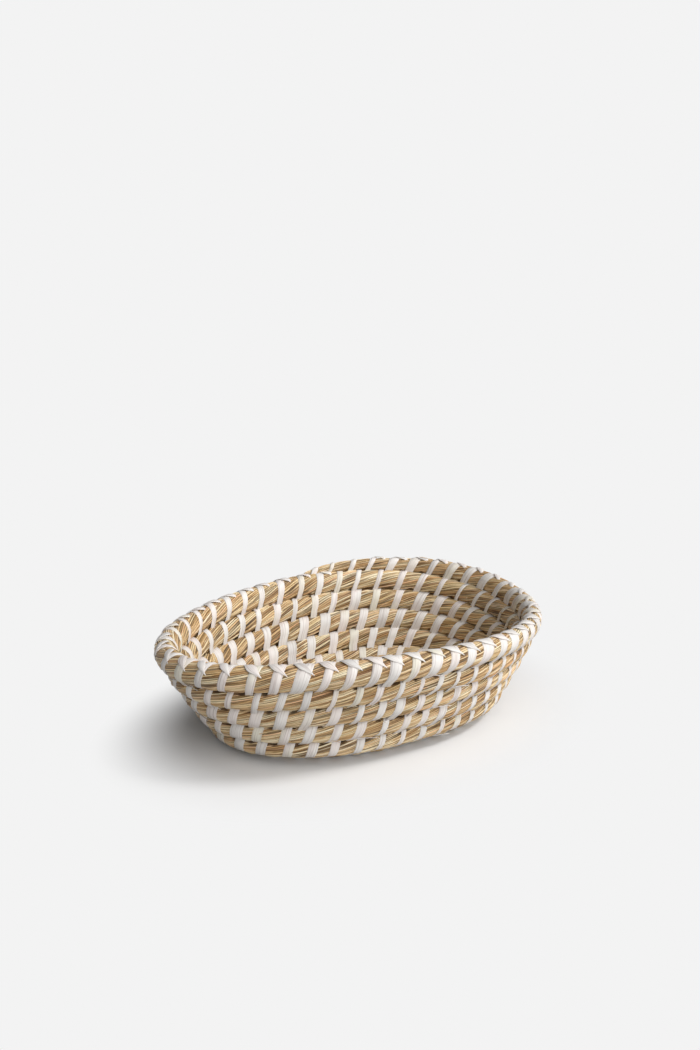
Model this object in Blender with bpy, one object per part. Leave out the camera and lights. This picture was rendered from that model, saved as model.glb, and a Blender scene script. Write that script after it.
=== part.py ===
"""Coiled oval basket, modelled as it is made.

One bundle of dried grass starts in the middle of the base and is wound anticlockwise, seen from above. It turns
up at the foot, climbs the wall and ends thinned down on the rim. A flat pale strip runs round the bundle like a
helix and sews each round to the one before it. One more strip crosses back over the rim.
+X is the long way of the basket, +Z is up, and the basket stands on z = 0.
"""

import math

import bmesh
import bpy
from mathutils import Vector
from mathutils.geometry import intersect_point_line

MM = 0.001

# The grass bundle, its sewing strips and the room that each keeps to the next piece.
BUNDLE_WIDTH = 12.1 * MM
STRIP_WIDTH = 6.4 * MM
STRIP_THICKNESS = 0.4 * MM
STITCH_SPACING = 14.4 * MM
CLEARANCE = 0.3 * MM

# The basket, measured to the middle of the bundle.
CORE_HALF_LENGTH = 31.3 * MM
FOOT_HALF_WIDTH = 59.0 * MM
WALL_SLANT = 69.35 * MM
END_SLOPE = math.radians(59.0)
SIDE_SLOPE = math.radians(66.5)
SLOPE_GAIN = math.radians(7.3)

# Handmade unevenness. The bundle is a little thinner towards +X, and the oval is a little egg shaped.
SWELL_SHARES = ((1, -0.058, 0.0), (2, -0.010, 0.026))
EGG_SHARE = -0.029

# Counts, and shares of a round. The heel reaches as far over the base as up the wall.
POINTS_PER_ROUND = 36
PROFILE_STEPS = 48
SEWN_FROM_ROUND = 1
FIRST_TURN_SHARE = 85.0 / 360.0
HEEL_SHARE = 0.7
HEEL_STRETCH_SHARE = 0.2
UNCROSSED_SHARE = 0.12
SAME_ROUND_SHARE = 5.0 / 12.0

# The bundle is thinned towards its end and cut to a wedge: how far before the end, as shares of a round, and how
# thick the bundle is there, as shares of its full thickness.
END_THICKNESS_SHARES = ((0.0, 0.15), (0.03, 0.72), (0.08, 0.82), (0.25, 1.0))

# The bundle's section is a barrel-sided hexagon. Its points are shares of the half width, towards the next
# round, and of the half depth, towards the outside of the basket.
FLAT_SHARE = 0.54
SECTION_SHARES = ((1, 0), (FLAT_SHARE, 1), (-FLAT_SHARE, 1), (-1, 0), (-FLAT_SHARE, -1), (FLAT_SHARE, -1))
SEAM_WIDTH_SHARE = 0.6

# One stitch of the strip that crosses back over the rim: the two edges of each of its sections, as shares of
# the stitch spacing along the bundle and as corners round it, where 0 is the top and 1 is the outside.
CROSS_STITCH_SHARES = (
    ((-0.1, -1), (0.1, -1)),
    ((0.03, 0), (0.23, 0)),
    ((0.16, 1), (0.36, 1)),
    ((0.27, 1.4), (0.38, 1.05)),
    ((0.47, 1.4), (0.42, 1.05)),
    ((0.64, 1), (0.44, 1)),
    ((0.77, 0), (0.57, 0)),
    ((0.86, -1), (0.66, -1)),
    ((0.88, -1.05), (0.75, -1.4)),
    ((0.92, -1.05), (1.0, -1.4)),
)

GRASS_COLOUR = (0.462, 0.279, 0.104, 1.0)
STRIP_COLOUR = (0.791, 0.738, 0.694, 1.0)
GRASS_ROUGHNESS = 0.62
STRIP_ROUGHNESS = 0.48

# Worked out from the sizes above.
MITRE = math.hypot(1, 1 - FLAT_SHARE)
SEAM = 2 * MITRE * (CLEARANCE + STRIP_THICKNESS) + CLEARANCE
PITCH = BUNDLE_WIDTH + SEAM
BASE_ROUNDS = FOOT_HALF_WIDTH / PITCH
WALL_ROUNDS = WALL_SLANT / PITCH
ROUNDS = BASE_ROUNDS + WALL_ROUNDS


def clear_scene():
    for thing in list(bpy.data.objects):
        bpy.data.objects.remove(thing, do_unlink=True)


def swell(angle):
    """How thick the bundle is at a plan angle, as a share of its usual thickness."""
    return 1 + sum(c * math.cos(n * angle) + s * math.sin(n * angle) for n, c, s in SWELL_SHARES)


def half_depth(angle):
    return (PITCH * swell(angle) - SEAM) / 2


def turned_up(above_foot):
    """0 on the flat base, 1 on the wall, and a smooth step over the heel between them."""
    share = min(max((above_foot + HEEL_SHARE) / (2 * HEEL_SHARE), 0), 1)
    return share * share * (3 - 2 * share)


def growth(above_foot, angle):
    """How far a round moves outwards and up for each round wound, at a plan angle."""
    wall = SIDE_SLOPE + (END_SLOPE - SIDE_SLOPE) * math.cos(angle) ** 2
    wall += SLOPE_GAIN * (above_foot / WALL_ROUNDS - 1 / 2)
    step = turned_up(above_foot)
    pitch = PITCH * swell(angle) * (1 + HEEL_STRETCH_SHARE * step * (1 - step))
    return pitch * math.cos(wall * step), pitch * math.sin(wall * step)


def wound_to(turns, angle):
    """Distance outwards and height of the bundle's middle after so many turns, at a plan angle."""
    above_foot = turns - BASE_ROUNDS
    out = PITCH * swell(angle) * min(turns, BASE_ROUNDS - HEEL_SHARE)
    up = half_depth(angle) + MITRE * (CLEARANCE + STRIP_THICKNESS)
    climbed = max(above_foot + HEEL_SHARE, 0) / PROFILE_STEPS
    for step in range(PROFILE_STEPS):
        across, rise = growth((step + 1 / 2) * climbed - HEEL_SHARE, angle)
        out += across * climbed
        up += rise * climbed
    return out, up


def middle(turns, angle):
    """A point on the bundle's middle line. Inner rounds have straight sides, and outer ones are ovals.

    The first bend is half a circle, because the bundle would fold into itself in a tighter one.
    """
    out, up = wound_to(turns, angle)
    across = 0
    plan_turn = angle / (2 * math.pi) % 1
    if 1 / 4 < plan_turn < 3 / 4 and abs(turns - plan_turn) < 1 / 2:
        out = PITCH * swell(angle) * (turns - plan_turn + 1 / 2)
        across = -PITCH * swell(angle) / 4
    roundness = min(max((turns - 1) / (ROUNDS - 1), 0), 1)
    core = math.copysign(abs(math.cos(angle)) ** roundness, math.cos(angle)) * CORE_HALF_LENGTH
    egg = 1 + EGG_SHARE * math.cos(3 * angle) * min(max(turns - 1, 0), 1)
    return Vector(((core + out * math.cos(angle)) * egg, (across + out * math.sin(angle)) * egg, up))


def end_thickness(turns):
    """How thick the bundle is after so many turns, as a share of its full thickness."""
    left = max(ROUNDS - turns, 0)
    for (near, thin), (far, thick) in zip(END_THICKNESS_SHARES, END_THICKNESS_SHARES[1:]):
        if left < far:
            return thin + (thick - thin) * (left - near) / (far - near)
    return 1


def gap_to_other_rounds(points, index):
    """Distance from one point of the middle line to the nearest other round."""
    least = math.inf
    own = round(POINTS_PER_ROUND * SAME_ROUND_SHARE)
    for other in range(len(points) - 1):
        if abs(other - index) <= own:
            continue
        start, end = points[other], points[other + 1]
        near, share = intersect_point_line(points[index], start, end)
        near = start if share < 0 else end if share > 1 else near
        least = min(least, (points[index] - near).length)
    return least


def winding():
    """The bundle as rings: middle, direction to the next round, outward direction, half width and half depth."""
    count = round((ROUNDS - FIRST_TURN_SHARE) * POINTS_PER_ROUND)
    turns = [FIRST_TURN_SHARE + (ROUNDS - FIRST_TURN_SHARE) * step / count for step in range(count + 1)]
    angles = [2 * math.pi * turn for turn in turns]
    points = [middle(turn, angle) for turn, angle in zip(turns, angles)]
    rings = []
    for index, (turn, angle) in enumerate(zip(turns, angles)):
        arriving = points[index] - points[max(index - 1, 0)]
        leaving = points[min(index + 1, count)] - points[index]
        along = (arriving.normalized() + leaving.normalized()).normalized()
        nudge = 1 / POINTS_PER_ROUND
        onward = middle(turn + nudge, angle) - middle(turn - nudge, angle)
        onward = (onward - onward.dot(along) * along).normalized()
        half_width = (gap_to_other_rounds(points, index) - SEAM) / 2
        thickness = end_thickness(turn)
        seat = points[index] - onward * half_width * (1 - thickness)
        depth = half_depth(angle) * thickness
        ring = (seat, onward, along.cross(onward), half_width * thickness, depth)
        seat.z -= min(0, lowest(ring))
        rings.append(ring)
    return turns, rings


def corner(ring, which, clear):
    """A corner of the bundle's section, moved out until its sides are clear by the given distance."""
    seat, onward, outward, half_width, depth = ring
    width_share, depth_share = SECTION_SHARES[which]
    if abs(width_share) < 1:
        width_reach = FLAT_SHARE * (half_width + MITRE * clear)
    else:
        width_reach = half_width + MITRE * clear
    depth_reach = depth + MITRE * clear
    return seat + onward * math.copysign(width_reach, width_share) + outward * depth_share * depth_reach


def lowest(ring):
    """Height of the lowest point of the sewn bundle at a ring. The base stands on 0."""
    corners = range(len(SECTION_SHARES))
    return min(corner(ring, which, CLEARANCE + STRIP_THICKNESS).z for which in corners)


class Bundle:
    """The wound bundle, and the way to a point on its skin by the distance along it."""

    def __init__(self):
        self.turns, self.rings = winding()
        runs = [after[0] - before[0] for before, after in zip(self.rings, self.rings[1:])]
        self.lengths = [0.0]
        for run in runs:
            self.lengths.append(self.lengths[-1] + run.length)
        last_round = runs[-POINTS_PER_ROUND:]
        self.rim_bend = max(run.angle(onward) for run, onward in zip(last_round, last_round[1:]))

    def length_at(self, turn):
        """Distance along the bundle after so many turns."""
        place = (turn - self.turns[0]) / (self.turns[1] - self.turns[0])
        index = min(max(int(place), 0), len(self.rings) - 2)
        share = place - index
        return self.lengths[index] * (1 - share) + self.lengths[index + 1] * share

    def over_corner(self, length, which, clear):
        """The point over one corner of the bundle, at a distance along it and clear of it."""
        index = 0
        while index < len(self.rings) - 2 and self.lengths[index + 1] < length:
            index += 1
        share = (length - self.lengths[index]) / (self.lengths[index + 1] - self.lengths[index])
        before = corner(self.rings[index], which % len(SECTION_SHARES), clear)
        after = corner(self.rings[index + 1], which % len(SECTION_SHARES), clear)
        return before.lerp(after, share)

    def on_skin(self, length, place, clear):
        """The point over the bundle's skin at a place between two corners."""
        which = math.floor(place)
        start = self.over_corner(length, which, clear)
        return start.lerp(self.over_corner(length, which + 1, clear), place - which)


def finish(name, colour, roughness):
    material = bpy.data.materials.new(name)
    material.use_nodes = True
    shader = material.node_tree.nodes["Principled BSDF"]
    shader.inputs["Base Color"].default_value = colour
    shader.inputs["Roughness"].default_value = roughness
    shader.inputs["Metallic"].default_value = 0.0
    material.diffuse_color = colour
    return material


def loft(name, sections, colour, roughness):
    """A closed body through a row of sections, made by extruding the first one from place to place."""
    body = bmesh.new()
    face = body.faces.new([body.verts.new(point) for point in sections[0]])
    for section in sections[1:]:
        extruded = bmesh.ops.extrude_face_region(body, geom=[face, *face.edges])["geom"]
        face = next(part for part in extruded if isinstance(part, bmesh.types.BMFace))
        for vertex, point in zip(face.verts, section):
            vertex.co = point
    bmesh.ops.triangulate(body, faces=body.faces)
    bmesh.ops.recalc_face_normals(body, faces=body.faces)
    mesh = bpy.data.meshes.new(name)
    body.to_mesh(mesh)
    body.free()
    mesh.materials.append(finish(name, colour, roughness))
    thing = bpy.data.objects.new(name, mesh)
    bpy.context.scene.collection.objects.link(thing)
    return thing


def make_coil(bundle):
    """The grass bundle from the core to the rim, as one unbroken body."""
    sections = [[corner(ring, which, 0) for which in range(len(SECTION_SHARES))] for ring in bundle.rings]
    return loft("grass_coil", sections, GRASS_COLOUR, GRASS_ROUGHNESS)


def strip_section(bundle, length, which):
    """A strip lies on the bundle along its middle line. Its outer face is flat, and narrower in the seam."""
    in_seam = abs(SECTION_SHARES[which][0]) == 1
    half = STRIP_WIDTH / 2 * (SEAM_WIDTH_SHARE if in_seam else 1)
    top = CLEARANCE + STRIP_THICKNESS
    before = bundle.on_skin(length - half, which, top)
    after = bundle.on_skin(length + half, which, top)
    under = bundle.on_skin(length, which, CLEARANCE)
    over = bundle.on_skin(length, which, top)
    sunk = over - (before + after) / 2
    if not in_seam and sunk.dot(over - under) > 0:
        before += sunk
        after += sunk
    return [before, under, after]


def make_strip(bundle, name, first_turn, last_turn):
    """One sewing strip: it goes up the outside, over the bundle, down the inside and through the seam."""
    end_room = STRIP_WIDTH / 2 + CLEARANCE
    start = bundle.length_at(first_turn) + end_room
    run = bundle.length_at(last_turn) - end_room - start
    corners = len(SECTION_SHARES)
    steps = corners * round(run / STITCH_SPACING)
    sections = []
    for step in range(steps + 1):
        which = (corners // 2 - step) % corners
        sections.append(strip_section(bundle, start + run * step / steps, which))
    return loft(name, sections, STRIP_COLOUR, STRIP_ROUGHNESS)


def make_cross_strip(bundle):
    """The strip sewn back over the rim, from its inside to its outside and back, on top of the rim strip."""
    start = bundle.length_at(ROUNDS - 1) + STITCH_SPACING
    run = bundle.length_at(ROUNDS - UNCROSSED_SHARE) - start
    stitches = round(run / STITCH_SPACING)
    lifted = STRIP_WIDTH / 2 * math.tan(bundle.rim_bend / 2)
    under_cross = 2 * CLEARANCE + STRIP_THICKNESS + lifted
    over_cross = under_cross + STRIP_THICKNESS
    sections = []
    for stitch in range(stitches):
        for edges in CROSS_STITCH_SHARES:
            places = [(start + run * (stitch + along) / stitches, place) for along, place in edges]
            (one, one_place), (other, other_place) = places
            under = bundle.on_skin((one + other) / 2, (one_place + other_place) / 2, under_cross)
            over = [bundle.on_skin(length, place, over_cross) for length, place in places]
            sections.append([over[0], under, over[1]])
    return loft("rim_cross_strip", sections, STRIP_COLOUR, STRIP_ROUGHNESS)


def make_strips(bundle):
    """One strip for each round, counted back from the rim. The core's first round is too tight to sew alone."""
    whole = int(ROUNDS - SEWN_FROM_ROUND)
    in_base = 0
    for index in range(whole):
        last_turn = ROUNDS - (whole - 1 - index)
        first_turn = last_turn - 1 if index else SEWN_FROM_ROUND
        if last_turn <= BASE_ROUNDS + HEEL_SHARE / 2:
            in_base += 1
            name = f"base_strip_{in_base}"
        elif index < whole - 1:
            name = f"wall_strip_{index - in_base + 1}"
        else:
            name = "rim_strip"
        make_strip(bundle, name, first_turn, last_turn)


def centre_basket():
    """Moves the basket so that it stands centred on the origin."""
    things = list(bpy.context.scene.collection.objects)
    corners = [vertex.co for thing in things for vertex in thing.data.vertices]
    shift = Vector((
        -(min(point.x for point in corners) + max(point.x for point in corners)) / 2,
        -(min(point.y for point in corners) + max(point.y for point in corners)) / 2,
        -min(point.z for point in corners),
    ))
    for thing in things:
        for vertex in thing.data.vertices:
            vertex.co += shift
    return shift


def least_gap(bundle):
    """The least gap between rounds of the bundle, measured on its points."""
    seats = [ring[0] for ring in bundle.rings]
    widths = [ring[3] for ring in bundle.rings]
    near = round(POINTS_PER_ROUND * SAME_ROUND_SHARE)
    least = math.inf
    for index, seat in enumerate(seats):
        for other in range(index + near, len(seats)):
            least = min(least, (seats[other] - seat).length - widths[index] - widths[other])
    return least


clear_scene()
grass = Bundle()
make_coil(grass)
make_strips(grass)
make_cross_strip(grass)
moved = centre_basket()
print(f"rounds {ROUNDS:.3f}, least gap between them {least_gap(grass) / MM:.2f} mm")
print(f"coil {grass.lengths[-1] / MM:.0f} mm long, moved by {moved.x / MM:.2f} {moved.y / MM:.2f} {moved.z / MM:.2f} mm")
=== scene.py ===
"""Looks of the coiled oval basket: dried grass stems, sewn with pale leaf strips."""

import math

import bmesh
import bpy
import numpy as np
from mathutils import Matrix


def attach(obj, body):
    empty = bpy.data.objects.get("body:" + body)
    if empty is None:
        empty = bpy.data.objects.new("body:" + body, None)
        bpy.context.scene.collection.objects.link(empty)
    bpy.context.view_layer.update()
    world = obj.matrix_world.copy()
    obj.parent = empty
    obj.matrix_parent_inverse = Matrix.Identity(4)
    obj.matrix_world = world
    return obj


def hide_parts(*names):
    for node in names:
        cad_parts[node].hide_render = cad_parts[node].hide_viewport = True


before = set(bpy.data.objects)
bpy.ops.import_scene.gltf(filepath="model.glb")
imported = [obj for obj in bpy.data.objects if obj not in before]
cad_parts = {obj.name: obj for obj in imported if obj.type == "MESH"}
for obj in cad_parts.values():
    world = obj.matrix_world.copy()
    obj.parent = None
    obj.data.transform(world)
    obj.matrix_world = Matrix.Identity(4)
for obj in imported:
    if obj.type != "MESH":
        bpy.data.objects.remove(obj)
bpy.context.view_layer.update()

# The way that the bundle runs.
# It starts as a straight core in the middle of the base and is wound anticlockwise, round after round. At the
# foot the rounds turn up and climb the wall. Lengths are in millimetres, and a turn is one round.
MM = 0.001
PITCH = 13.94
CORE_HALF_LENGTH = 31.3
FOOT_HALF_WIDTH, WALL_SLANT = 59.0, 69.35
BASE_ROUNDS = FOOT_HALF_WIDTH / PITCH
WALL_ROUNDS = WALL_SLANT / PITCH
ROUNDS = BASE_ROUNDS + WALL_ROUNDS
OUTLINE_MIDDLE = (8.10, 1.05)
FLOOR_PRESS = 0.15

# The rounds turn up over a soft heel, which starts 0.7 rounds before the foot and ends 0.7 rounds after it.
# The wall is steeper at the sides than at the ends, and a little steeper at the top than at the foot.
END_SLOPE, SIDE_SLOPE, SLOPE_GAIN = math.radians(59.0), math.radians(66.5), math.radians(7.3)
HEEL = 0.7
HEEL_STRETCH = 0.2
HEEL_STEPS = 48

# The oval is uneven, as a hand winds it. A swell is a number of waves a round, with the shares of its cosine
# and its sine. The egg makes the two ends unlike.
SWELLS = ((1, -0.058, 0.0), (2, -0.010, 0.026))
EGG = -0.029

# Both ends of the bundle. The last one thins out over a quarter of a round and lies down on the round below.
FIRST_TURN, CORE_END = 85 / 360, 95 / 360
EYE_TURN = FIRST_TURN - 0.001
START_OVERHANG = 6.0
LAST_TURN = ROUNDS + 0.041
BEFORE_END = (0.0, 0.02, 0.041, 0.062, 0.099, 0.124, 0.154, 0.214, 0.284)
END_THICKNESS = (0.12, 0.36, 0.47, 0.56, 0.63, 0.74, 0.84, 0.95, 1.0)

# The bundle is worked out on rings, with a skin from which the crowns of the stems stand out. It is slightly
# squared, and its rounds are sewn so tight that they press into each other.
RINGS_PER_ROUND = 120
SAME_ROUND = RINGS_PER_ROUND * 5 // 12
SMOOTHED_RINGS = 9
SIDE_STEP = 0.03
CROWNS_OUT = 0.35
SQUARED = 0.94
SNUG = 1.03


def swell(angle):
    """How wide the rounds are in each direction, as a share of the pitch."""
    return 1 + sum(c * np.cos(n * angle) + s * np.sin(n * angle) for n, c, s in SWELLS)


def ease(share):
    """Goes from 0 to 1 without a kink."""
    share = np.clip(share, 0, 1)
    return share * share * (3 - 2 * share)


def growth(above_foot, angle):
    """How far the rounds move outwards and up, for each round wound."""
    wall = SIDE_SLOPE + (END_SLOPE - SIDE_SLOPE) * np.cos(angle) ** 2
    wall = wall + SLOPE_GAIN * (above_foot / WALL_ROUNDS - 0.5)
    turned_up = ease((above_foot + HEEL) / (2 * HEEL))
    pitch = PITCH * swell(angle) * (1 + HEEL_STRETCH * turned_up * (1 - turned_up))
    return pitch * np.cos(wall * turned_up), pitch * np.sin(wall * turned_up)


def middle(turns, angle):
    """Points on the bundle's middle line. The first bend is half a circle."""
    climbed = np.maximum(turns - BASE_ROUNDS + HEEL, 0)
    steps = (np.arange(HEEL_STEPS) + 0.5) / HEEL_STEPS
    across, rise = growth(climbed[:, None] * steps - HEEL, angle[:, None])
    out = PITCH * swell(angle) * np.minimum(turns, BASE_ROUNDS - HEEL) + across.mean(1) * climbed
    up = PITCH / 2 * swell(angle) - FLOOR_PRESS + rise.mean(1) * climbed
    plan_turn = angle / (2 * math.pi) % 1
    first_bend = (plan_turn > 0.25) & (plan_turn < 0.75) & (np.abs(turns - plan_turn) < 0.5)
    out = np.where(first_bend, PITCH * swell(angle) * (turns - plan_turn + 0.5), out)
    sideways = np.where(first_bend, -PITCH * swell(angle) / 4, 0)
    roundness = np.clip((turns - 1) / (ROUNDS - 1), 0, 1)
    core = np.sign(np.cos(angle)) * np.abs(np.cos(angle)) ** roundness * CORE_HALF_LENGTH
    egg = 1 + EGG * np.cos(3 * angle) * np.clip(turns - 1, 0, 1)
    x = (core + out * np.cos(angle)) * egg + OUTLINE_MIDDLE[0]
    return np.stack([x, (sideways + out * np.sin(angle)) * egg + OUTLINE_MIDDLE[1], up], 1)


def unit(vectors):
    """The same vectors with a length of one."""
    return vectors / np.linalg.norm(vectors, axis=1, keepdims=True)


def half_way_to_others(points):
    """Half the distance from each point of the middle line to the nearest other round."""
    starts, runs = points[:-1], np.diff(points, axis=0)
    halves = []
    for index, point in enumerate(points):
        share = np.clip(((point - starts) * runs).sum(1) / (runs * runs).sum(1), 0, 1)
        gaps = np.linalg.norm(starts + runs * share[:, None] - point, axis=1)
        gaps[max(index - SAME_ROUND, 0):index + SAME_ROUND] = np.inf
        halves.append(gaps.min() / 2)
    padded = np.pad(halves, SMOOTHED_RINGS // 2, mode="edge")
    return np.convolve(padded, np.ones(SMOOTHED_RINGS) / SMOOTHED_RINGS, mode="valid")


turns = np.linspace(CORE_END, LAST_TURN, round((LAST_TURN - CORE_END) * RINGS_PER_ROUND) + 1)
turns = np.concatenate([[FIRST_TURN], turns])
angles = 2 * math.pi * turns
spine = middle(turns, angles)
headings = unit(np.diff(spine, axis=0))
along = unit(np.concatenate([headings[:1], headings[:-1] + headings[1:], headings[-1:]]))
onward = middle(turns + SIDE_STEP, angles) - middle(turns - SIDE_STEP, angles)
onward = unit(onward - (onward * along).sum(1, keepdims=True) * along)
outward = np.cross(along, onward)
thickness = np.interp(LAST_TURN - turns, BEFORE_END, END_THICKNESS)
half_width = half_way_to_others(spine)
spine = spine - onward * (half_width * (1 - thickness))[:, None]
half_width = half_width * thickness
half_depth = (PITCH / 2 * swell(angles) - CROWNS_OUT) * thickness
lengths = np.concatenate([[0], np.cumsum(np.linalg.norm(np.diff(spine, axis=0), axis=1))])
below = middle(turns - 1, angles)
rings = np.concatenate([spine, onward, outward, below, half_width[:, None], half_depth[:, None]], 1)
in_the_eye = rings[0].copy()
in_the_eye[:3] -= along[0] * START_OVERHANG
rings = np.concatenate([in_the_eye[None], rings])
lengths = np.concatenate([[-START_OVERHANG], lengths])
turns = np.concatenate([[EYE_TURN], turns])


def ring_at(length):
    """The middle, two directions, the round below, half the width and half the depth, at distances along."""
    values = np.stack([np.interp(length, lengths, column) for column in rings.T], 1)
    return values[:, 0:3], values[:, 3:6], values[:, 6:9], values[:, 9:12], values[:, 12], values[:, 13]


def length_at(turn):
    """How far along the bundle a turn is reached."""
    return float(np.interp(turn, turns, lengths))


def barrel(around):
    """A slightly squared circle: its reach towards the next round, and its reach outwards."""
    across, depth = np.cos(around), np.sin(around)
    return np.sign(across) * np.abs(across) ** SQUARED, np.sign(depth) * np.abs(depth) ** SQUARED


def over_skin(length, around, lift):
    """Points over the bundle: around is 0 towards the next round, and a quarter turn on the outside."""
    centre, onto, out, _, wide, deep = ring_at(length)
    across, depth = barrel(around)
    across, depth = across * (wide * SNUG + lift), depth * (deep + lift)
    return centre + onto * across[:, None] + out * depth[:, None]


# The places of the stitches.
# They are sewn by eye, about 14.3 mm apart, and closer in front. Each goes into the round below just behind
# the stitch there, so they lie like bricks, and leans forwards as it goes up the outside and down the inside.
rng = np.random.default_rng(7)
STITCH_SPACING = 14.3
WIDER_AT_BACK = 0.12
STITCH_LEAN = 7.0
BY_EYE = 0.9
SEWN_FROM_TURN = 0.64
FIRST_STITCH = 4.0
LAST_STITCH, ROOM_BEFORE_LAST = 18, 38

# The first round is sewn evenly. After that a stitch is drawn to a place behind the top of a stitch below,
# the more so the faster the rounds grow. Their growth is measured over a short way.
EVENLY_SEWN = 1.1
BEHIND_TOP = 6.5
DRAWN_SHARE = 0.75
MOST_GROWTH = 0.12
SHORT_WAY = 0.02

# There is one strip to each round, which narrows towards its tip. The tips come in front, and the tip of the
# rim's strip at the back.
STRIP_NAMES = ["base_strip_1", "base_strip_2", "base_strip_3", "wall_strip_1", "wall_strip_2", "wall_strip_3",
               "wall_strip_4", "rim_strip"]
STRIP_WIDTHS = np.array([4.6, 4.9, 4.7, 4.4, 5.1, 5.0, 3.7, 5.2])
WIDTH_SHARES = (0.76, 1.36)
NARROWING = 0.25
WIDEST_AT = math.radians(120)
WALL_STRIP_SHARE = 1.08

# A strip dents the bundle under it and a little beside it.
DENT_REACH, DENT_EDGE = 1.7, 1.5


def next_stitch(places):
    """The place of the next stitch, drawn towards the gap between two stitches of the round below."""
    place = places[-1]
    turn = float(np.interp(place, lengths, turns))
    if turn < SEWN_FROM_TURN + EVENLY_SEWN:
        return place + STITCH_SPACING
    spacing = STITCH_SPACING * (1 + WIDER_AT_BACK * math.sin(2 * math.pi * turn))
    under = length_at(turn - 1)
    way_here = length_at(turn) - length_at(turn - SHORT_WAY)
    way_under = under - length_at(turn - (1 + SHORT_WAY))
    growing = way_here / way_under - 1
    top_after = next(other + STITCH_LEAN for other in places if other + STITCH_LEAN > under)
    phase = (top_after - under - BEHIND_TOP) / spacing
    return place + spacing * (1 + DRAWN_SHARE * min(growing, MOST_GROWTH) * math.cos(2 * math.pi * phase))


placed = [length_at(SEWN_FROM_TURN) + FIRST_STITCH]
while placed[-1] < lengths[-1] - ROOM_BEFORE_LAST:
    placed.append(next_stitch(placed))
placed.append(lengths[-1] - LAST_STITCH)
stitches = np.array(placed) + rng.uniform(-BY_EYE, BY_EYE, len(placed))
stitch_turns = np.interp(stitches, lengths, turns)
stitch_strips = np.clip(stitch_turns - ROUNDS + len(STRIP_NAMES), 0, len(STRIP_NAMES) - 1).astype(int)
stitch_widths = STRIP_WIDTHS[stitch_strips] * rng.uniform(*WIDTH_SHARES, len(stitches))
narrowing = NARROWING * np.cos(2 * math.pi * stitch_turns - WIDEST_AT)
stitch_widths *= np.where(stitch_strips == len(STRIP_NAMES) - 1, 1 - narrowing, WALL_STRIP_SHARE + narrowing)


def under_strip(length, around):
    """1 where a strip presses on the bundle, and 0 between the strips."""
    level = length - STITCH_LEAN * (1 - around / math.pi)
    after = np.clip(np.searchsorted(stitches, level), 1, len(stitches) - 1)
    before = after - 1
    room = np.minimum(
        np.abs(level - stitches[before]) - stitch_widths[before] / 2,
        np.abs(level - stitches[after]) - stitch_widths[after] / 2,
    )
    return ease((DENT_REACH - room) / DENT_EDGE)


# The holes of the stitches.
# A strip comes out between its own round and the one below, and goes back in there on the inside. Beside it
# both rounds are pulled apart and leave a small hole, which is larger on the outside. The hole is dented in,
# and painted shade makes it dark.
HOLE_OFF = (2.6, 4.6)
HOLE_LENGTHENED = 0.8
SKIN_RADIUS = 6.8
NONE_BELOW = 1.1
sewn_up = stitches[stitch_turns > FIRST_TURN + NONE_BELOW]
came_out = sewn_up - rng.uniform(*HOLE_OFF, len(sewn_up))
went_in = sewn_up + 2 * STITCH_LEAN + rng.uniform(*HOLE_OFF, len(sewn_up))


def one_round_below(places):
    """The same places of the oval, as distances along the bundle one round earlier."""
    return np.interp(np.interp(places, lengths, turns) - 1, turns, lengths)


# Each row has the places of the holes, where they are round the bundle, and their radius.
HOLES = (
    (came_out, math.radians(150), 2.5),
    (one_round_below(came_out), math.radians(27), 2.4),
    (went_in, math.radians(-152), 1.4),
    (one_round_below(went_in), math.radians(-26), 1.4),
)


def in_hole(length, around):
    """1 in the middle of a hole and 0 off it."""
    share = np.zeros(len(length))
    for holes, hole_around, radius in HOLES:
        after = np.clip(np.searchsorted(holes, length), 1, len(holes) - 1)
        gap = np.minimum(np.abs(length - holes[after - 1]), np.abs(length - holes[after]))
        aside = SKIN_RADIUS * (around - hole_around)
        share = np.maximum(share, 1 - np.hypot(gap * HOLE_LENGTHENED, aside) / radius)
    return np.clip(share, 0, 1)


# The bundle.
# Dried grass stems, about 1.1 mm thick, are laid together with a slight twist. They bulge a little between
# the stitches, and some lie lower than others. It is made in nine stretches: the core with the first bends,
# and then one for each round.
ROUND_NAMES = ["coil_core"] + [f"coil_round_{number}" for number in range(1, 9)]
STEM_WIDTH = 1.13
STEM_WIDTH_SHARES = (0.7, 1.35)
STEM_POINTS = (0.0, 0.15, 0.38, 0.62, 0.85)
STEMS_ROUND = 38
GIRTH = STEM_WIDTH * STEMS_ROUND
TWIST = math.radians(15)
INSIDE_SPREAD = 0.22
SECTION_STEP = 2.2
END_ROUNDING = 2.5
OVER_FLOOR = 0.05

# Each stem has its own level, which changes every 21 mm, and its own tone, which changes every 85 mm. The
# bundle also turns a little to and fro. The tables are about as long as the bundle.
LEVELS = (-0.34, 0.20)
LEVEL_LENGTH, LEVEL_SPOTS, LEVEL_SHIFT = 21, 210, 0.37
TONE_LENGTH, TONE_SPOTS, TONE_SHIFT = 85, 60, 0.61
SWAY = 0.05
SWAY_LENGTH, SWAY_SPOTS = 40.0, 110
stem_table = np.random.default_rng(11)
stem_edges = np.cumsum(stem_table.uniform(*STEM_WIDTH_SHARES, STEMS_ROUND))
stem_edges = np.concatenate([[0], stem_edges / stem_edges[-1]])
stem_levels = stem_table.uniform(*LEVELS, (STEMS_ROUND, LEVEL_SPOTS))
stem_tones = stem_table.uniform(0, 1, (STEMS_ROUND, TONE_SPOTS))
bundle_sway = stem_table.uniform(-SWAY, SWAY, SWAY_SPOTS)

# How the stems stand out: their crowns, the grooves between them, the dents of the strips and the holes.
CROWN_HEIGHT, SKIN_HEIGHT, GROOVE_DEPTH = 0.55, 0.36, 0.13
DENT_FLATTENS, DENT_DEPTH = 0.75, 0.19
HOLE_DEPTH = 1.3
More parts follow.
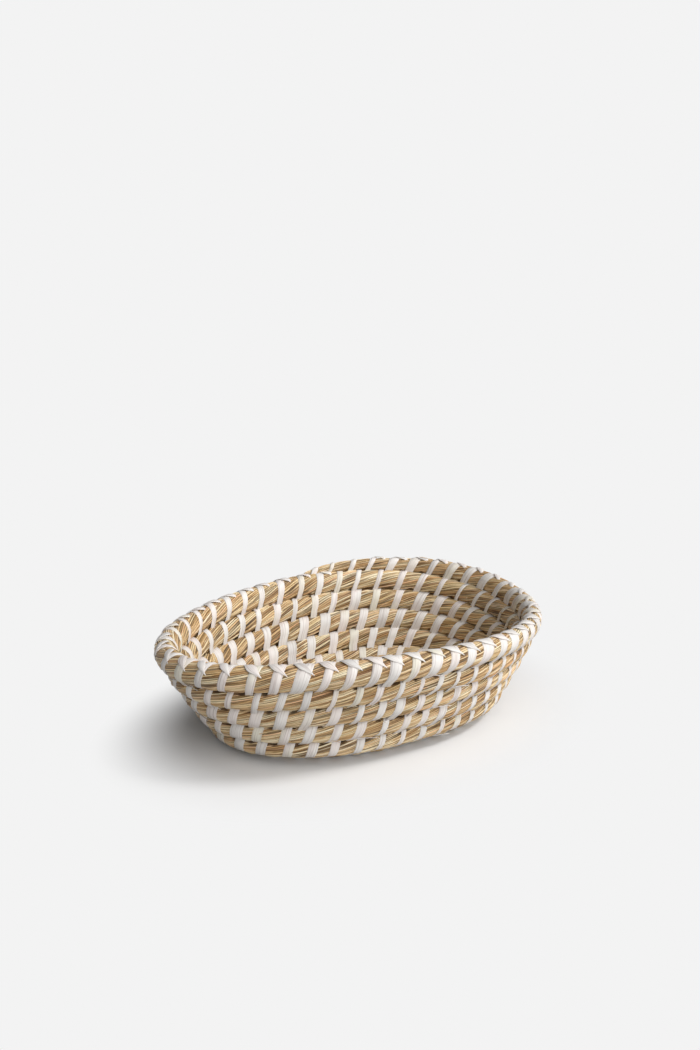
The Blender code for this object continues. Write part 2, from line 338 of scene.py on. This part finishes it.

# How much light is painted on them, from 0 to 1: painted shade darkens the grooves between stems, the stems
# that lie lower, the flanks of each stem's crown and the seam between two rounds. Stems in the seam between
# two rounds are the darkest.
PAINTED_LIGHT_BASE, LEVEL_PAINTS_LIGHT, CROWN_PAINTS_LIGHT = 0.55, 1.4, 0.25
SEAM_PAINTED_LIGHT, SEAM_SHADE_REACH = 0.12, 0.5

# The loose stems. Most lie on the bundle, and one in five is a thin end that stands up from it.
LOOSE_EVERY = 11
LOOSE_STEP = 1.8
LOOSE_RADIUS = 7
LOOSE_LIFT, LOOSE_DENT = 0.30, 0.8
LOOSE_OVER_FLOOR = 0.06
LOOSE_END_ROOM = 3
LYING_LENGTHS, LYING_WIDTHS = (14, 44), (0.7, 1.4)
STANDING_FROM, STANDING_RISE = 0.8, 3.4
STANDING_LENGTHS, STANDING_WIDTH = (7, 16), 0.45


def stem_level(stem, length):
    """How far a stem lies over or under the others."""
    spot = length / LEVEL_LENGTH + stem * LEVEL_SHIFT
    whole = np.floor(spot).astype(int)
    fade = spot - whole
    here, next_one = stem_levels[stem, whole % LEVEL_SPOTS], stem_levels[stem, (whole + 1) % LEVEL_SPOTS]
    return here * (1 - fade) + next_one * fade


def bundle_surface(length, column):
    """Where points lie round the bundle, and their height over the skin, tone, painted light and shade, and
    way round it.
    """
    stem, point = np.divmod(column, len(STEM_POINTS))
    share = np.array(STEM_POINTS)[point]
    stem = stem % STEMS_ROUND
    start = stem_edges[stem] + (column == STEMS_ROUND * len(STEM_POINTS))
    place = start + share * (stem_edges[stem + 1] - stem_edges[stem])
    sway = np.interp(length, np.arange(SWAY_SPOTS) * SWAY_LENGTH, bundle_sway)
    turned = length * math.tan(TWIST) / GIRTH + sway
    laid = (-2 * math.pi * (place + turned)) % (2 * math.pi) - math.pi
    around = laid + INSIDE_SPREAD * (np.cos(laid) + 1)
    crown = np.sqrt(1 - (2 * share - 1) ** 2)
    own, neighbour = stem_level(stem, length), stem_level(stem - 1, length)
    groove = point == 0
    level = np.where(groove, np.minimum(own, neighbour) - GROOVE_DEPTH, own)
    height = CROWN_HEIGHT * crown + level
    pressed, hole = under_strip(length, around), in_hole(length, around)
    lift = (height - SKIN_HEIGHT) * (1 - DENT_FLATTENS * pressed) - DENT_DEPTH * pressed - HOLE_DEPTH * hole
    # Painted light on high stems and on the crown of each stem, painted shade on lower stems and on the
    # crown's flanks.
    stem_painted_light = np.clip(PAINTED_LIGHT_BASE + LEVEL_PAINTS_LIGHT * level + CROWN_PAINTS_LIGHT * crown, 0, 1)
    # Painted shade: the grooves between stems and the holes get no painted light and show nearly black.
    painted_light = np.where(groove, 0, stem_painted_light) * (1 - hole)
    # Painted shade in the seam between two rounds; the top of the last round has no seam.
    off_seam_shade = np.clip(np.abs(np.sin(around)) / SEAM_SHADE_REACH, 0, 1)
    off_seam_shade = np.where((length > length_at(LAST_TURN - 1)) & (np.cos(around) > 0), 1, off_seam_shade)
    painted_light = painted_light * (SEAM_PAINTED_LIGHT + (1 - SEAM_PAINTED_LIGHT) * off_seam_shade)
    tone = stem_tones[stem, (length / TONE_LENGTH + stem * TONE_SHIFT).astype(int) % TONE_SPOTS]
    return around, lift, tone, painted_light, place * GIRTH


def new_body():
    """An empty body with a UV map."""
    body = bmesh.new()
    body.loops.layers.uv.new("UVMap")
    return body


def set_points(body, made, points, tone, painted_light, u, v):
    """Places points of a grid, with the tone of the stem there, the light and shade painted on it, and the
    place on the pattern.
    """
    spread = body.loops.layers.uv[0]
    tones, painted_shadings = body.verts.layers.float["tone"], body.verts.layers.float["painted_shading"]
    points[:, 2] = np.maximum(points[:, 2], OVER_FLOOR)
    for vertex, point, one_tone, one_painted_light, u_here, v_here in zip(made, points * MM, tone, painted_light, u, v):
        vertex.co = point
        vertex[tones] = one_tone
        vertex[painted_shadings] = one_painted_light
        for loop in vertex.link_loops:
            loop[spread].uv = (u_here, v_here)


def lay_loose_stem(body, first, run, around, width, rise, tone):
    """One stem that lies over the others. It goes under the strips, and its end can stand up."""
    steps = max(5, round(run / LOOSE_STEP))
    made = bmesh.ops.create_grid(body, x_segments=steps, y_segments=4, size=0.5)["verts"]
    grid = np.array([vertex.co[:2] for vertex in made]) + 0.5
    length = first + run * grid[:, 0]
    turn = grid[:, 1] * 2 * math.pi
    half = width / 2 * np.sqrt(np.clip(12 * grid[:, 0] * (1 - grid[:, 0]), 0.01, 1))
    turned = around - (length - first) * math.tan(TWIST) / LOOSE_RADIUS + np.cos(turn) * half / LOOSE_RADIUS
    wrapped = (turned + math.pi) % (2 * math.pi) - math.pi
    height = LOOSE_LIFT + np.sin(turn) * half * 0.7
    height = height - LOOSE_DENT * under_strip(length, wrapped) + rise * grid[:, 0] ** 3
    points = over_skin(length, turned, height)
    points[:, 2] += max(LOOSE_OVER_FLOOR - points[:, 2].min(), 0)
    # Painted shade on the side of the loose stem that faces the bundle, painted light on its top.
    painted_light = np.clip(0.75 + 0.6 * np.sin(turn), 0, 1)
    across = around * 40 + grid[:, 1] * 3 * width
    set_points(body, made, points, np.full(len(made), tone), painted_light, length, across)


def lay_loose_stems(body, first, last):
    """The loose stems of one stretch of the bundle."""
    first_free = max(first, LOOSE_END_ROOM)
    loose = stem_table.uniform(size=(round((last - first) / LOOSE_EVERY), 6))
    for place, turn, run, width, rising, tone in loose:
        rise = STANDING_RISE * rising if rising > STANDING_FROM else 0
        run = np.interp(run, (0, 1), STANDING_LENGTHS if rise else LYING_LENGTHS)
        start = first_free + place * (last - first_free - run - LOOSE_END_ROOM)
        width = STANDING_WIDTH if rise else np.interp(width, (0, 1), LYING_WIDTHS)
        lay_loose_stem(body, start, run, (2 * turn - 1) * math.pi, width, rise, tone)


def lay_bundle(first, last):
    """A grid of points, bent round the bundle, with the loose stems of this stretch."""
    body = new_body()
    body.verts.layers.float.new("tone")
    body.verts.layers.float.new("painted_shading")
    steps = round((last - first) / SECTION_STEP)
    columns = STEMS_ROUND * len(STEM_POINTS)
    bmesh.ops.create_grid(body, x_segments=steps, y_segments=columns, size=0.5, calc_uvs=False)
    grid = np.array([vertex.co[:2] for vertex in body.verts]) + 0.5
    length = first + (last - first) * grid[:, 0]
    around, lift, tone, painted_light, across = bundle_surface(length, np.round(grid[:, 1] * columns).astype(int))
    to_end = np.minimum(length - lengths[0], lengths[-1] - length)
    closing = np.sqrt(np.clip(to_end / END_ROUNDING, 0, 1))[:, None]
    centre = ring_at(length)[0]
    points = centre + (over_skin(length, around, lift) - centre) * closing
    set_points(body, list(body.verts), points, tone, painted_light, length, across)
    lay_loose_stems(body, first, last)
    return body


def finish_piece(body, name, material):
    """Makes a piece of a body, whose tubes are joined along their seams and closed at their ends."""
    bmesh.ops.remove_doubles(body, verts=body.verts, dist=0.000001)
    rims = [edge for edge in body.edges if edge.is_boundary]
    for edge in rims:
        edge.smooth = False
    for face in body.faces:
        face.smooth = True
    bmesh.ops.holes_fill(body, edges=rims, sides=0)
    bmesh.ops.recalc_face_normals(body, faces=body.faces)
    mesh = bpy.data.meshes.new(name)
    body.to_mesh(mesh)
    body.free()
    mesh.materials.append(material)
    piece = bpy.data.objects.new(name, mesh)
    bpy.context.scene.collection.objects.link(piece)
    return piece


def linear(colour):
    """A colour written as sRGB hex, turned to the linear values that shaders take."""
    channels = [int(colour[place:place + 2], 16) / 255 for place in (1, 3, 5)]
    return tuple(c / 12.92 if c < 0.04045 else ((c + 0.055) / 1.055) ** 2.4 for c in channels) + (1.0,)


def add_node(owner, kind, inputs=None, **settings):
    """Adds one node. An input is given a value, or another node's output to be linked to."""
    made = owner.node_tree.nodes.new(kind)
    for name, value in settings.items():
        setattr(made, name, value)
    for name, value in (inputs or {}).items():
        if isinstance(value, bpy.types.NodeSocket):
            owner.node_tree.links.new(value, made.inputs[name])
        else:
            made.inputs[name].default_value = value
    return made


def set_ramp(ramp, *stops):
    """Gives a colour ramp its stops, as pairs of a place and a colour."""
    while len(ramp.color_ramp.elements) < len(stops):
        ramp.color_ramp.elements.new(0.5)
    for element, (place, colour) in zip(ramp.color_ramp.elements, stops):
        element.position = place
        element.color = linear(colour)


# Dried sweetgrass: satin straw, golden where it is fresh and brown where it is older. Each stem has its own
# tone and fine lines run along it. Painted shade darkens the grooves between stems, the lower stems, the
# seams between rounds and the holes. Its UV map is in millimetres.
FIBRE_LENGTH, FIBRE_WIDTH = 26, 0.62
PATCH_LENGTH, PATCH_WIDTH = 60, 7
grass = bpy.data.materials.new("dried sweetgrass stems")
grass.use_nodes = True
grass_shader = grass.node_tree.nodes["Principled BSDF"]
stem_tone = add_node(grass, "ShaderNodeAttribute", attribute_name="tone")
stem_painted_shading = add_node(grass, "ShaderNodeAttribute", attribute_name="painted_shading")
grass_map = add_node(grass, "ShaderNodeUVMap", uv_map="UVMap")
fibre_map = add_node(grass, "ShaderNodeMapping", {
    "Vector": grass_map.outputs["UV"], "Scale": (1 / FIBRE_LENGTH, 1 / FIBRE_WIDTH, 1),
})
fibres = add_node(grass, "ShaderNodeTexNoise", {
    "Vector": fibre_map.outputs["Vector"], "Scale": 1.0, "Detail": 3.0,
})
patch_map = add_node(grass, "ShaderNodeMapping", {
    "Vector": grass_map.outputs["UV"], "Scale": (1 / PATCH_LENGTH, 1 / PATCH_WIDTH, 1),
})
patches = add_node(grass, "ShaderNodeTexNoise", {
    "Vector": patch_map.outputs["Vector"], "Scale": 1.0, "Detail": 2.0,
})
straw = add_node(grass, "ShaderNodeValToRGB", {"Fac": stem_tone.outputs["Fac"]})
set_ramp(
    straw, (0.0, "#9C8154"), (0.12, "#CBA87A"), (0.38, "#DFC194"), (0.6, "#EBD5AB"), (0.84, "#F6EACB"),
    (1.0, "#E8B98B"),
)
streaks = add_node(grass, "ShaderNodeValToRGB", {"Fac": fibres.outputs["Fac"]})
set_ramp(streaks, (0.35, "#58452E"), (0.42, "#D6C6AD"), (0.49, "#FFFFFF"))
streaked = add_node(grass, "ShaderNodeMix", {
    0: 0.86, 6: straw.outputs["Color"], 7: streaks.outputs["Color"],
}, data_type="RGBA", blend_type="MULTIPLY")
aged = add_node(grass, "ShaderNodeValToRGB", {"Fac": patches.outputs["Fac"]})
set_ramp(aged, (0.3, "#E6D6B9"), (0.5, "#FFFFFF"), (0.72, "#FBEFDC"))
coloured = add_node(grass, "ShaderNodeMix", {
    0: 1.0, 6: streaked.outputs[2], 7: aged.outputs["Color"],
}, data_type="RGBA", blend_type="MULTIPLY")
# Painted shade: the painted light attribute turns from near black to white and darkens the straw's colour.
groove = add_node(grass, "ShaderNodeValToRGB", {"Fac": stem_painted_shading.outputs["Fac"]})
set_ramp(groove, (0.0, "#100A04"), (0.3, "#6C5630"), (0.57, "#FFFFFF"))
shaded = add_node(grass, "ShaderNodeMix", {
    0: 0.9, 6: coloured.outputs[2], 7: groove.outputs["Color"],
}, data_type="RGBA", blend_type="MULTIPLY")
fine_lines = add_node(grass, "ShaderNodeBump", {
    "Strength": 0.5, "Distance": 0.00012, "Height": fibres.outputs["Fac"],
})
grass.node_tree.links.new(shaded.outputs[2], grass_shader.inputs["Base Color"])
grass.node_tree.links.new(fine_lines.outputs["Normal"], grass_shader.inputs["Normal"])
grass_shader.inputs["Roughness"].default_value = 0.46
grass_shader.inputs["IOR"].default_value = 1.45

whole_rounds = len(ROUND_NAMES) - 1
first_turns = [turns[0]] + [ROUNDS - whole_rounds + step for step in range(whole_rounds)]
for name, first_turn, last_turn in zip(ROUND_NAMES, first_turns, first_turns[1:] + [LAST_TURN]):
    piece = finish_piece(lay_bundle(length_at(first_turn), length_at(last_turn)), name, grass)
    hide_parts("grass_coil")
    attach(piece, "root")

# The sewing strips.
# Each is a bleached leaf strip, 3 to 9 mm wide, thin and creased along its length. It comes out of the top of
# the round below, goes up and over its own round, and back down into the round below on the inside.
STITCH_ARCS = np.radians(np.linspace(128, -128, 11))
PIERCE = math.radians(35)
PIERCE_VARIES, SKEW_VARIES = 0.13, 0.07
TUCKED_IN, AT_SKIN = 0.7, 1.02
THINNEST = 2.0
CREASES = (-0.06, 0.08)
STRIP_OVER_FLOOR = 0.03
PATTERN_STEP = (23.7, 5.3)

# Its profile goes over its top and back underneath: a share of its width, and a height in millimetres.
STRIP_PROFILE = (
    (-0.5, -0.02), (-0.45, 0.16), (0.02, 0.13), (0.45, 0.16), (0.5, -0.02), (0, -0.15), (-0.5, -0.02),
)

# The rim's stitches stand up more than the others, and fan out on top.
rim_stitches = np.nonzero((stitch_turns > ROUNDS - 1) & (stitch_turns < ROUNDS - 0.025))[0]
RIM_SPREAD = 0.18
RIM_PUFF, WALL_PUFF = (0.3, 1.0), (0, 0.2)
puffs = np.where(
    stitch_turns > ROUNDS - 1, rng.uniform(*RIM_PUFF, len(stitches)), rng.uniform(*WALL_PUFF, len(stitches))
)

# One stitch in eleven on the wall and the rim has the frayed end of a strip beside it.
TAIL_STEPS = 7
TAIL_EVERY, FIRST_TAIL = 11, 5
TAILS_FROM_STRIP = 3
TAIL_LENGTHS, TAIL_WIDTHS, TAIL_NARROWS = (8, 15), (1.1, 2.0), 0.7
TAIL_AROUND, TAIL_BENDS = (112, 138), (-0.25, 0.1)
TAIL_LIFT, TAIL_TIP_LIFT = 0.3, 1.5
TAIL_RADIUS = 7
TAIL_PATTERN = 800


def lay_strip(body, points, number, width, path_length):
    """Adds one closed strip, mapped in millimetres on its own place of the pattern."""
    rows, columns = points.shape[:2]
    made = bmesh.ops.create_grid(body, x_segments=columns - 1, y_segments=rows - 1, size=0.5)["verts"]
    uv_layer = body.loops.layers.uv[0]
    places = {}
    for vertex in made:
        column = round((vertex.co.x + 0.5) * (columns - 1))
        row = round((vertex.co.y + 0.5) * (rows - 1))
        across, along_strip = width * STRIP_PROFILE[column][0], path_length * row / (rows - 1)
        places[vertex] = (number * PATTERN_STEP[0] + across, number * PATTERN_STEP[1] + along_strip)
        vertex.co = np.maximum(points[row, column], (-np.inf, -np.inf, STRIP_OVER_FLOOR)) * MM
    for face in {face for vertex in made for face in vertex.link_faces}:
        for loop in face.loops:
            loop[uv_layer].uv = places[loop.vert]


def stitch_path(wide, deep, to_below, outer_pierce, inner_pierce):
    """The way of one stitch in the plane across the bundle, as steps onward and outward."""
    across, depth = barrel(STITCH_ARCS)
    outer = np.array([wide * math.cos(outer_pierce), deep * math.sin(outer_pierce)])
    inner = np.array([wide * math.cos(inner_pierce), -deep * math.sin(inner_pierce)])
    ends = [to_below + outer * TUCKED_IN, to_below + outer * AT_SKIN]
    back = [to_below + inner * AT_SKIN, to_below + inner * TUCKED_IN]
    return np.concatenate([ends, np.stack([across * wide * SNUG, depth * deep], 1), back])


def add_stitch(body, number):
    """One stitch, bent round the bundle."""
    width = stitch_widths[number]
    crease = rng.uniform(*CREASES, len(STRIP_PROFILE) - 1)
    place = stitches[number] + STITCH_LEAN
    centre, onto, out, lower, wide, deep = ring_at(np.array([place]))
    step = (lower - centre)[0]
    to_below = np.array([step @ onto[0], step @ out[0]])
    piercing = PIERCE + rng.uniform(-PIERCE_VARIES, PIERCE_VARIES, 2)
    path = stitch_path(max(wide[0], THINNEST), max(deep[0], THINNEST), to_below, *piercing)
    runs = np.concatenate([[0], np.cumsum(np.linalg.norm(np.diff(path, axis=0), axis=1))])
    share = runs / runs[-1]
    tangent = np.gradient(path, axis=0)
    normal = unit(np.stack([-tangent[:, 1], tangent[:, 0]], 1))
    points = np.empty((len(path), len(STRIP_PROFILE), 3))
    lean = STITCH_LEAN + rng.uniform(-BY_EYE, BY_EYE)
    skew = rng.uniform(-SKEW_VARIES, SKEW_VARIES)
    fanned = RIM_SPREAD if number in rim_stitches else 0
    spread = 1 + skew * (share - 0.5) * 2 + fanned * np.sin(math.pi * share) ** 3
    for column, (side, lift) in enumerate(STRIP_PROFILE):
        spots = place + (share - 0.5) * 2 * lean + side * width * spread
        centre, onto, out, _, _, _ = ring_at(spots)
        puff = puffs[number] * (1 - 4 * side * side) * np.sin(math.pi * share) ** 4
        bent = path + normal * (lift + crease[column % len(crease)] + puff)[:, None]
        points[:, column] = centre + onto * bent[:, :1] + out * bent[:, 1:]
    lay_strip(body, points, number, width, runs[-1])


def add_tail(body, number):
    """The frayed end of a strip. It lies along the groove below a stitch and lifts a little at its tip."""
    share = np.linspace(0, 1, TAIL_STEPS)
    run, width = rng.uniform(*TAIL_LENGTHS), rng.uniform(*TAIL_WIDTHS)
    around = math.radians(rng.uniform(*TAIL_AROUND)) + rng.uniform(*TAIL_BENDS) * share
    points = np.empty((TAIL_STEPS, len(STRIP_PROFILE), 3))
    for column, (side, lift) in enumerate(STRIP_PROFILE):
        aside = side * width * (1 - TAIL_NARROWS * share) / TAIL_RADIUS
        spots = stitches[number] + 0.2 * STITCH_LEAN + run * share
        points[:, column] = over_skin(spots, around + aside, TAIL_LIFT + lift + TAIL_TIP_LIFT * share ** 2)
    lay_strip(body, points, number + TAIL_PATTERN, width, run)


# Bleached leaf: off-white and matte to satin, a little pink or grey from strip to strip, with fine veins and
# creases along it. The same noise bumps the creases and paints them a little darker as shade.
VEIN_WIDTH, VEIN_LENGTH = 0.7, 30
TINT_WIDTH, TINT_LENGTH = 24, 50
leaf = bpy.data.materials.new("bleached leaf strip")
leaf.use_nodes = True
leaf_shader = leaf.node_tree.nodes["Principled BSDF"]
leaf_map = add_node(leaf, "ShaderNodeUVMap", uv_map="UVMap")
vein_map = add_node(leaf, "ShaderNodeMapping", {
    "Vector": leaf_map.outputs["UV"], "Scale": (1 / VEIN_WIDTH, 1 / VEIN_LENGTH, 1),
})
veins = add_node(leaf, "ShaderNodeTexNoise", {
    "Vector": vein_map.outputs["Vector"], "Scale": 1.0, "Detail": 3.0,
})
tint_map = add_node(leaf, "ShaderNodeMapping", {
    "Vector": leaf_map.outputs["UV"], "Scale": (1 / TINT_WIDTH, 1 / TINT_LENGTH, 1),
})
tints = add_node(leaf, "ShaderNodeTexNoise", {
    "Vector": tint_map.outputs["Vector"], "Scale": 1.0, "Detail": 1.0,
})
leaf_tint = add_node(leaf, "ShaderNodeValToRGB", {"Fac": tints.outputs["Fac"]})
set_ramp(leaf_tint, (0.3, "#DCD8D4"), (0.45, "#EAE6E1"), (0.58, "#E9E0DB"), (0.7, "#E4DFD0"))
# Painted shade in the creases: the low lines of the vein bump are a little darker.
leaf_crease_shade = add_node(leaf, "ShaderNodeValToRGB", {"Fac": veins.outputs["Fac"]})
set_ramp(leaf_crease_shade, (0.28, "#CFC5C2"), (0.5, "#FFFFFF"))
leaf_colour = add_node(leaf, "ShaderNodeMix", {
    0: 0.85, 6: leaf_tint.outputs["Color"], 7: leaf_crease_shade.outputs["Color"],
}, data_type="RGBA", blend_type="MULTIPLY")
leaf_bump = add_node(leaf, "ShaderNodeBump", {
    "Strength": 0.7, "Distance": 0.0002, "Height": veins.outputs["Fac"],
})
leaf.node_tree.links.new(leaf_colour.outputs[2], leaf_shader.inputs["Base Color"])
leaf.node_tree.links.new(leaf_bump.outputs["Normal"], leaf_shader.inputs["Normal"])
leaf_shader.inputs["Roughness"].default_value = 0.5
leaf_shader.inputs["IOR"].default_value = 1.45

for index, strip_name in enumerate(STRIP_NAMES):
    body = new_body()
    for number in np.nonzero(stitch_strips == index)[0]:
        add_stitch(body, number)
        if index >= TAILS_FROM_STRIP and number % TAIL_EVERY == FIRST_TAIL:
            add_tail(body, number)
    piece = finish_piece(body, "sewn_" + strip_name, leaf)
    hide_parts(strip_name)
    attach(piece, "root")

# The crossed stitches on the rim.
# One more strip is sewn back over the last round. Each leg comes up the inside, over the top, crosses the
# stitch there and ends in a point a little way down the outside.
LEG_STEPS = 10
LEG_FROM, LEG_TO, LEG_TO_VARIES = math.radians(-46), math.radians(37), (-0.12, 0.1)
LEG_WIDTHS = (3.8, 5.6)
CROSSING_SHARE = 0.9
LEG_BEFORE, LEG_BEFORE_VARIES = 6.4, (-1.0, 0.8)
LEG_PAST = (0.8, 2.6)
LEG_LIFT, LEG_PUFF, LEG_MORE_PUFF = 0.20, 0.3, 0.7
LEG_TUCKED_IN, LEG_TIP_LIFT = -0.5, 0.12
LEG_RADIUS = 6.9
LEG_PATH = 17
LEG_PATTERN = 400


def add_leg(body, number):
    """One crossing leg, laid over the stitch of the rim strip."""
    width = rng.uniform(*LEG_WIDTHS)
    share = np.linspace(0, 1, LEG_STEPS)
    around = LEG_FROM + (LEG_TO - LEG_FROM + rng.uniform(*LEG_TO_VARIES)) * share
    crossing = stitches[number] + CROSSING_SHARE * STITCH_LEAN
    start = crossing - LEG_BEFORE + rng.uniform(*LEG_BEFORE_VARIES)
    tip = crossing + stitch_widths[number] / 2 + rng.uniform(*LEG_PAST)
    arc, run = LEG_RADIUS * (around[-1] - around[0]), tip - start
    aslant = np.array([arc, -run / LEG_RADIUS]) / math.hypot(arc, run)
    narrow = np.clip(np.minimum((share + 0.25) / 0.6, (1 - share) / 0.5), 0.06, 1)
    puff = LEG_PUFF + LEG_MORE_PUFF * puffs[number]
    lifts = LEG_LIFT + puff * np.sin(np.pi * np.clip(share * 1.02, 0, 1)) ** 0.7
    lifts[0], lifts[-1] = LEG_TUCKED_IN, LEG_TIP_LIFT
    points = np.empty((LEG_STEPS, len(STRIP_PROFILE), 3))
    for column, (side, lift) in enumerate(STRIP_PROFILE):
        aside = side * width * narrow
        spots = start + run * share + aslant[0] * aside
        points[:, column] = over_skin(spots, around + aslant[1] * aside, lifts + lift)
    lay_strip(body, points, number + LEG_PATTERN, width, LEG_PATH)


body = new_body()
for number in rim_stitches:
    add_leg(body, number)
piece = finish_piece(body, "rim_crossed_stitches", leaf)
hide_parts("rim_cross_strip")
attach(piece, "root")

# The floor and its backdrop.
# A plain pale studio paper. Only the close shadow stays on the floor, which fades into the backdrop round the
# basket. The paper that the camera sees is lighter than the paper that throws light back on the basket.
BACKDROP, PAPER_SEEN, PAPER_BOUNCED = "#F3F3F3", "#F4F4F4", "#B4B4B4"
FLOOR_REACH = 6.0
SHADE_HALF_LENGTH, SHADE_HALF_WIDTH = 0.132, 0.095
SHADE_FADES = (0.8, 1.32)
floor_body = bmesh.new()
bmesh.ops.create_grid(floor_body, x_segments=1, y_segments=1, size=FLOOR_REACH)
floor_mesh = bpy.data.meshes.new("floor")
floor_body.to_mesh(floor_mesh)
floor_body.free()
floor = bpy.data.objects.new("floor", floor_mesh)
bpy.context.scene.collection.objects.link(floor)
paper = bpy.data.materials.new("matte studio paper")
paper.use_nodes = True
paper_shader = paper.node_tree.nodes["Principled BSDF"]
paper_shader.inputs["Roughness"].default_value = 0.9
paper_shader.inputs["Specular IOR Level"].default_value = 0.0
floor_place = add_node(paper, "ShaderNodeTexCoord")
floor_map = add_node(paper, "ShaderNodeMapping", {
    "Vector": floor_place.outputs["Object"], "Scale": (1 / SHADE_HALF_LENGTH, 1 / SHADE_HALF_WIDTH, 1),
})
floor_distance = add_node(paper, "ShaderNodeVectorMath", {0: floor_map.outputs["Vector"]}, operation="LENGTH")
floor_fade = add_node(paper, "ShaderNodeMapRange", {
    "Value": floor_distance.outputs["Value"], "From Min": SHADE_FADES[0], "From Max": SHADE_FADES[1],
}, interpolation_type="SMOOTHSTEP")


def seen_rays(owner):
    """1 for the rays that show the backdrop: those from the camera, and those mirrored or let through."""
    path = add_node(owner, "ShaderNodeLightPath")
    direct = add_node(owner, "ShaderNodeMath", {
        0: path.outputs["Is Camera Ray"], 1: path.outputs["Is Glossy Ray"],
    }, operation="MAXIMUM")
    return add_node(owner, "ShaderNodeMath", {
        0: direct.outputs[0], 1: path.outputs["Is Transmission Ray"],
    }, operation="MAXIMUM")


paper_tone = add_node(paper, "ShaderNodeMix", {
    0: seen_rays(paper).outputs[0], 6: linear(PAPER_BOUNCED), 7: linear(PAPER_SEEN),
}, data_type="RGBA")
paper.node_tree.links.new(paper_tone.outputs[2], paper_shader.inputs["Base Color"])
floor_blend = add_node(paper, "ShaderNodeMath", {
    0: seen_rays(paper).outputs[0], 1: floor_fade.outputs["Result"],
}, operation="MULTIPLY")
floor_glow = add_node(paper, "ShaderNodeEmission", {"Color": linear(BACKDROP), "Strength": 1.0})
floor_mix = add_node(paper, "ShaderNodeMixShader", {
    0: floor_blend.outputs[0], 1: paper_shader.outputs[0], 2: floor_glow.outputs[0],
})
paper.node_tree.links.new(floor_mix.outputs[0], paper.node_tree.nodes["Material Output"].inputs["Surface"])
floor_mesh.materials.append(paper)

# The camera and the light.
# The camera stands at the photograph's angle. A fill comes from the front right and fades out towards the
# left and the back, and one large lamp stands high on the right.
CAMERA_YAW, CAMERA_TILT = 0.5147, 0.2851
CAMERA_DISTANCE, CAMERA_RIGHT, CAMERA_UP = 758.42, -8.9124, 120.5313
LENS, SENSOR_WIDTH = 39.756, 36
FILL_RIGHT, FILL_FRONT, FILL_UP = 0.74, 0.66, 0.1
FILL_STRENGTH, FULL_FILL_FROM = 2.12, 0.95
LAMP_STRENGTH, LAMP_SOFTNESS = 1.24, math.radians(12)
LAMP_HEIGHT, LAMP_SIDE = math.radians(52), math.radians(8)
sight_right = np.array([math.cos(CAMERA_YAW), -math.sin(CAMERA_YAW), 0])
sight_level = np.array([math.sin(CAMERA_YAW), math.cos(CAMERA_YAW), 0])
sight_up = sight_level * math.sin(CAMERA_TILT) + np.array([0, 0, math.cos(CAMERA_TILT)])
sight = sight_level * math.cos(CAMERA_TILT) - np.array([0, 0, math.sin(CAMERA_TILT)])
stand = sight_right * CAMERA_RIGHT + sight_up * CAMERA_UP - sight * CAMERA_DISTANCE
stand = stand + np.array([*OUTLINE_MIDDLE, 0])


def facing(place, right, up, back):
    """Where a lamp or the camera stands and how it is turned."""
    turned = np.eye(4)
    turned[:3, 0], turned[:3, 1], turned[:3, 2], turned[:3, 3] = right, up, back, place
    return Matrix(turned.tolist())


camera = bpy.data.objects.new("camera", bpy.data.cameras.new("camera"))
camera.data.sensor_width = SENSOR_WIDTH
camera.data.lens = LENS
camera.data.clip_start = 0.05
camera.matrix_world = facing(stand * MM, sight_right, sight_up, -sight)
bpy.context.scene.collection.objects.link(camera)
bpy.context.scene.camera = camera

world = bpy.data.worlds.new("studio")
bpy.context.scene.world = world
world.use_nodes = True
fill_from = sight_right * FILL_RIGHT - sight_level * FILL_FRONT + np.array([0, 0, FILL_UP])
fill_from = unit(fill_from[None])[0]
fill_place = add_node(world, "ShaderNodeTexCoord")
fill_side = add_node(world, "ShaderNodeVectorMath", {
    0: fill_place.outputs["Generated"], 1: tuple(fill_from),
}, operation="DOT_PRODUCT")
fill_power = add_node(world, "ShaderNodeMapRange", {
    "Value": fill_side.outputs["Value"], "From Min": 0.0, "From Max": FULL_FILL_FROM,
    "To Min": 0.0, "To Max": FILL_STRENGTH,
})
fill = world.node_tree.nodes["Background"]
fill.inputs["Color"].default_value = linear("#FFFFFF")
world.node_tree.links.new(fill_power.outputs["Result"], fill.inputs["Strength"])
backdrop = add_node(world, "ShaderNodeBackground", {"Color": linear(BACKDROP)})
sky_mix = add_node(world, "ShaderNodeMixShader", {
    0: seen_rays(world).outputs[0], 1: fill.outputs[0], 2: backdrop.outputs[0],
})
world.node_tree.links.new(sky_mix.outputs[0], world.node_tree.nodes["World Output"].inputs["Surface"])

lamp = bpy.data.objects.new("key lamp", bpy.data.lights.new("key lamp", "SUN"))
lamp.data.energy = LAMP_STRENGTH
lamp.data.angle = LAMP_SOFTNESS
lamp_back = (sight_right * math.cos(LAMP_SIDE) - sight_level * math.sin(LAMP_SIDE)) * math.cos(LAMP_HEIGHT)
lamp_back = lamp_back + np.array([0, 0, math.sin(LAMP_HEIGHT)])
lamp_right = np.cross([0, 0, 1], lamp_back) / math.cos(LAMP_HEIGHT)
lamp.matrix_world = facing(lamp_back, lamp_right, np.cross(lamp_back, lamp_right), lamp_back)
bpy.context.scene.collection.objects.link(lamp)

bpy.context.scene.view_settings.view_transform = "Standard"
